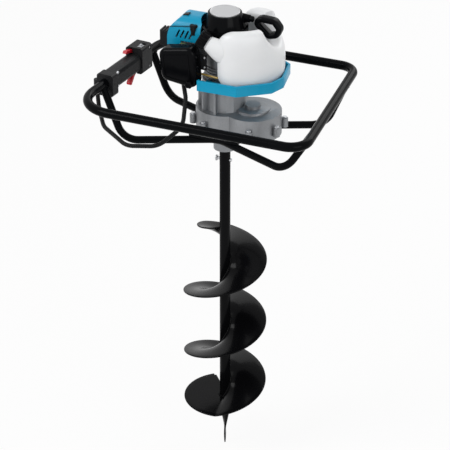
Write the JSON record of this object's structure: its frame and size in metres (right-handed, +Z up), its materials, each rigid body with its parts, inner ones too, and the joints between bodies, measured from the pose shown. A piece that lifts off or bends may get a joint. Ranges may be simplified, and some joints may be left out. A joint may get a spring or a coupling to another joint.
{
  "type": "earth auger",
  "caption": "Petrol earth auger: engine and reduction gearbox in a tubular two-handed frame, turning a screw bit that drills holes in the ground.",
  "frame": {"origin": "the bit's pilot point on the ground, on the drive axis", "axes": "+Z up along the drive axis, +X along the front bar to the operator's right, +Y to the rear bar"},
  "size_m": [0.5943, 0.4776, 1.1808],
  "materials": {
    "black_paint": "gloss black paint",
    "zinc_steel": "zinc plated",
    "dark_plastic": "fine grain",
    "red_plastic": "satin",
    "grey_plastic": "satin",
    "cable_sleeve": "smooth sleeve",
    "cast_alloy": "sand cast",
    "gear_steel": "ground",
    "bright_steel": "turned",
    "rubber": "moulded",
    "teal_plastic": "moulded, satin gloss",
    "ceramic": "glazed",
    "heat_paint": "heat paint",
    "brass": "plain",
    "cream_rubber": "soft bulb",
    "gloss_black": "gloss moulded",
    "foam": "open foam",
    "badge_alloy": "brushed, plain",
    "rope": "braided",
    "tank_plastic": "milky, translucent",
    "fuel_hose": "clear amber",
    "bit_paint": "gloss black paint"
  },
  "bodies": {
    "frame": {"handle_loop": "black_paint", "front_leg_tube": "black_paint", "rear_leg_tube": "black_paint", "mount_plate": "black_paint", "case_bolts": "zinc_steel", "throttle_housing_outer": "dark_plastic", "throttle_housing_inner": "dark_plastic", "throttle_screws": "zinc_steel", "cable_collar": "dark_plastic", "throttle_cable": "cable_sleeve", "gearcase_lower": "cast_alloy", "gearcase_upper": "cast_alloy", "bearings": "bright_steel", "output_seal": "rubber", "crankcase_lower": "cast_alloy", "crankcase_upper": "cast_alloy", "connecting_rod": "bright_steel", "piston": "cast_alloy", "cylinder_barrel": "cast_alloy", "cylinder_cover": "teal_plastic", "cover_knob": "dark_plastic", "spark_plug": "ceramic", "plug_cap": "rubber", "ignition_coil": "dark_plastic", "muffler": "heat_paint", "insulator": "dark_plastic", "carburettor": "cast_alloy", "air_filter_case": "gloss_black", "air_filter_element": "foam", "air_filter_cover": "gloss_black", "air_filter_knob": "gloss_black", "recoil_housing": "gloss_black", "recoil_badge": "badge_alloy", "recoil_spring": "bright_steel", "starter_rope": "rope", "fuel_tank": "tank_plastic", "fuel_line": "fuel_hose", "tank_tray": "teal_plastic"},
    "auger": {"output_gear": "gear_steel", "output_shaft": "bright_steel", "bit_shaft": "bit_paint", "bit_flight": "bit_paint", "cutting_blade": "bit_paint", "pilot_point": "bit_paint", "drive_pin": "zinc_steel"},
    "layshaft": {"layshaft": "gear_steel"},
    "clutch_drum": {"clutch_drum": "gear_steel"},
    "crank": {"crankshaft": "bright_steel", "flywheel": "cast_alloy", "clutch_shoes": "gear_steel"},
    "throttle_trigger": {"throttle_trigger": "red_plastic"},
    "lock_off_lever": {"lock_off_lever": "red_plastic"},
    "stop_switch": {"stop_switch": "grey_plastic"},
    "throttle_arm": {"throttle_arm": "brass"},
    "choke_lever": {"choke_lever": "dark_plastic"},
    "primer_bulb": {"primer_bulb": "cream_rubber"},
    "starter_grip": {"starter_grip": "gloss_black"},
    "starter_reel": {"starter_reel": "dark_plastic"},
    "cap_gasket": {"cap_gasket": "rubber"},
    "fuel_cap": {"fuel_cap": "gloss_black"}
  },
  "joints": [
    {"name": "auger_spin", "type": "hinge", "parent": "frame", "child": "auger", "pos_m": [0, 0, 0], "axis": [0, 0, 1], "continuous": true},
    {"name": "layshaft_spin", "type": "hinge", "parent": "frame", "child": "layshaft", "pos_m": [0.07, 0, 0], "axis": [0, 0, 1], "continuous": true},
    {"name": "clutch_spin", "type": "hinge", "parent": "frame", "child": "clutch_drum", "pos_m": [0, 0, 0], "axis": [0, 0, 1], "continuous": true},
    {"name": "crank_spin", "type": "hinge", "parent": "frame", "child": "crank", "pos_m": [0, 0, 0], "axis": [0, 0, 1], "continuous": true},
    {"name": "trigger_pull", "type": "hinge", "parent": "frame", "child": "throttle_trigger", "pos_m": [-0.25663, 0.05834, 0.967], "axis": [-0.9958, 0.0917, 0], "range_deg": [0, 20], "stiffness_Nm_per_rad": 0.6},
    {"name": "lock_off_press", "type": "hinge", "parent": "frame", "child": "lock_off_lever", "pos_m": [-0.25608, 0.06431, 1.007], "axis": [0.9958, -0.0917, 0], "range_deg": [0, 10], "stiffness_Nm_per_rad": 0.6},
    {"name": "stop_slide", "type": "slide", "parent": "frame", "child": "stop_switch", "axis": [0.0917, 0.9958, 0], "range_m": [0, 0.008]},
    {"name": "throttle_open", "type": "hinge", "parent": "frame", "child": "throttle_arm", "pos_m": [-0.081, -0.059, 1.08783], "axis": [0, 0, 1], "range_deg": [0, 56]},
    {"name": "choke_turn", "type": "hinge", "parent": "frame", "child": "choke_lever", "pos_m": [-0.053, -0.059, 1.07683], "axis": [1, 0, 0], "range_deg": [0, 60]},
    {"name": "primer_press", "type": "slide", "parent": "frame", "child": "primer_bulb", "axis": [-1, 0, 0], "range_m": [0, 0.004], "stiffness_N_per_m": 1500},
    {"name": "starter_pull", "type": "slide", "parent": "frame", "child": "starter_grip", "axis": [1, 0, 0], "range_m": [0, 0.7], "stiffness_N_per_m": 20, "springref_m": -0.2, "deforming": ["starter_rope"]},
    {"name": "reel_spin", "type": "hinge", "parent": "frame", "child": "starter_reel", "pos_m": [0, 0, 0], "axis": [0, 0, 1], "range_deg": [-1545, 0]},
    {"name": "cap_rise", "type": "slide", "parent": "frame", "child": "cap_gasket", "axis": [-0.8576, -0.1205, 0.5], "range_m": [0, 0.006]},
    {"name": "cap_turn", "type": "hinge", "parent": "cap_gasket", "child": "fuel_cap", "pos_m": [-0.02, -0.082, 1.13883], "axis": [-0.8576, -0.1205, 0.5], "range_deg": [0, 542]}
  ],
  "couplings": [
    {"joint": "layshaft_spin", "follows": "auger_spin", "ratio": -4.6},
    {"joint": "clutch_spin", "follows": "auger_spin", "ratio": 27.6},
    {"joint": "throttle_open", "follows": "trigger_pull", "ratio": 2.75},
    {"joint": "reel_spin", "follows": "starter_pull", "rad_per_m": -38.462},
    {"joint": "cap_turn", "follows": "cap_rise", "rad_per_m": 1570.8}
  ]
}
